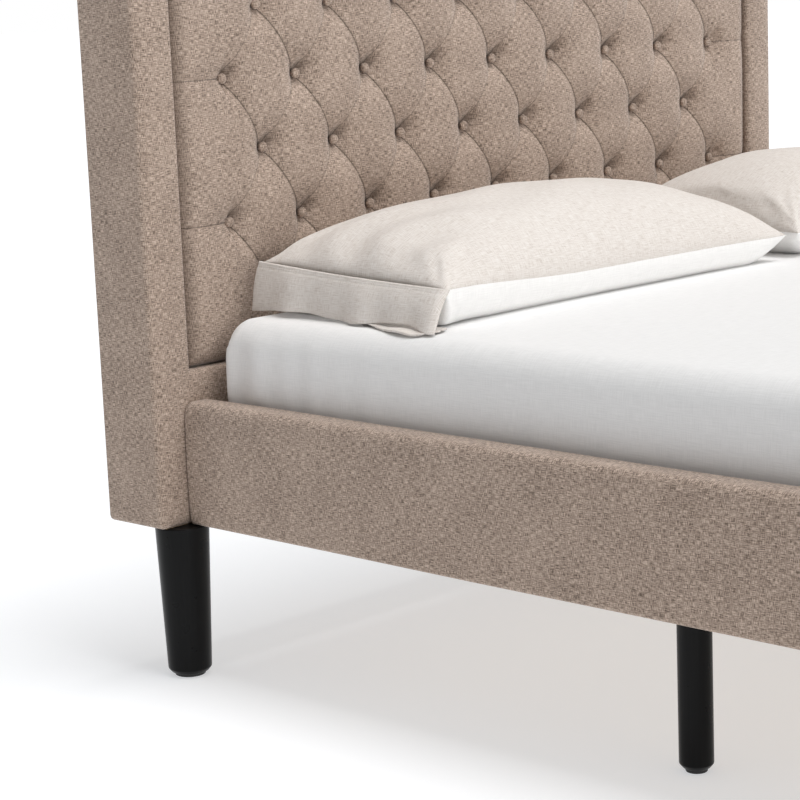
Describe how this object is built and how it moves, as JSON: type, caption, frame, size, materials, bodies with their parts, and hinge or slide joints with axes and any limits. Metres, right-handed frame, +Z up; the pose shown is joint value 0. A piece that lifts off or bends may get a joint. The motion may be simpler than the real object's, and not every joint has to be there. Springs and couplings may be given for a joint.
{
  "type": "upholstered headboard bed",
  "caption": "Full-size bed with a button-tufted upholstered headboard, padded rails, a slatted base on dark turned legs, a mattress in its sheet and two pillows.",
  "frame": {"origin": "on the floor, under the middle of the bed's outline", "axes": "+Y towards the headboard, +Z up, +X to the right of someone facing the headboard"},
  "size_m": [1.6076, 2.1266, 1.21],
  "materials": {
    "linen_weave": "matte",
    "cotton_sheet": "matte",
    "linen_case": "matte",
    "ticking": "matte",
    "cambric": "matte",
    "pine": "satin",
    "plywood": "satin",
    "black_lacquer": "satin",
    "nylon": "matte",
    "black_steel": "satin"
  },
  "bodies": {
    "bed_frame": {"beam_hanger_foot": "black_steel", "beam_hanger_head": "black_steel", "bracket_bolt_left": "black_steel", "bracket_bolt_right": "black_steel", "centre_beam": "pine", "corner_block_left": "pine", "corner_block_right": "pine", "corner_bracket_left": "black_steel", "corner_bracket_right": "black_steel", "foot_rail": "pine", "foot_rail_cover": "linen_weave", "glide_foot_left": "nylon", "glide_foot_right": "nylon", "glide_head_left": "nylon", "glide_head_right": "nylon", "headboard_apron": "linen_weave", "headboard_border_left": "linen_weave", "headboard_border_right": "linen_weave", "headboard_border_top": "linen_weave", "headboard_bottom_rail": "pine", "headboard_centre_stile": "pine", "headboard_dust_cover": "cambric", "headboard_panel_board": "plywood", "headboard_post_left": "pine", "headboard_post_right": "pine", "headboard_top_rail": "pine", "headboard_tufted_pad": "linen_weave", "leg_board": "plywood", "leg_foot_left": "black_lacquer", "leg_foot_right": "black_lacquer", "leg_head_left": "black_lacquer", "leg_head_right": "black_lacquer", "side_rail_cover_left": "linen_weave", "side_rail_cover_right": "linen_weave", "side_rail_left": "pine", "side_rail_right": "pine", "slat_01": "pine", "slat_02": "pine", "slat_03": "pine", "slat_04": "pine", "slat_05": "pine", "slat_06": "pine", "slat_07": "pine", "slat_08": "pine", "slat_09": "pine", "slat_10": "pine", "slat_ledge_left": "pine", "slat_ledge_right": "pine", "support_glide_left": "nylon", "support_glide_middle": "nylon", "support_glide_right": "nylon", "support_leg_left": "black_lacquer", "support_leg_middle": "black_lacquer", "support_leg_right": "black_lacquer"},
    "mattress": {"mattress": "ticking", "fitted_sheet": "cotton_sheet"},
    "left_pillow": {"pillow_left": "linen_case"},
    "right_pillow": {"pillow_right": "linen_case"}
  },
  "joints": [
    {"name": "mattress_lift", "type": "slide", "parent": "bed_frame", "child": "mattress", "axis": [0, 0, 1], "range_m": [0, 0.35]},
    {"name": "pillow_left_lift", "type": "slide", "parent": "mattress", "child": "left_pillow", "axis": [0, 0, 1], "range_m": [0, 0.3]},
    {"name": "pillow_right_lift", "type": "slide", "parent": "mattress", "child": "right_pillow", "axis": [0, 0, 1], "range_m": [0, 0.3]}
  ]
}
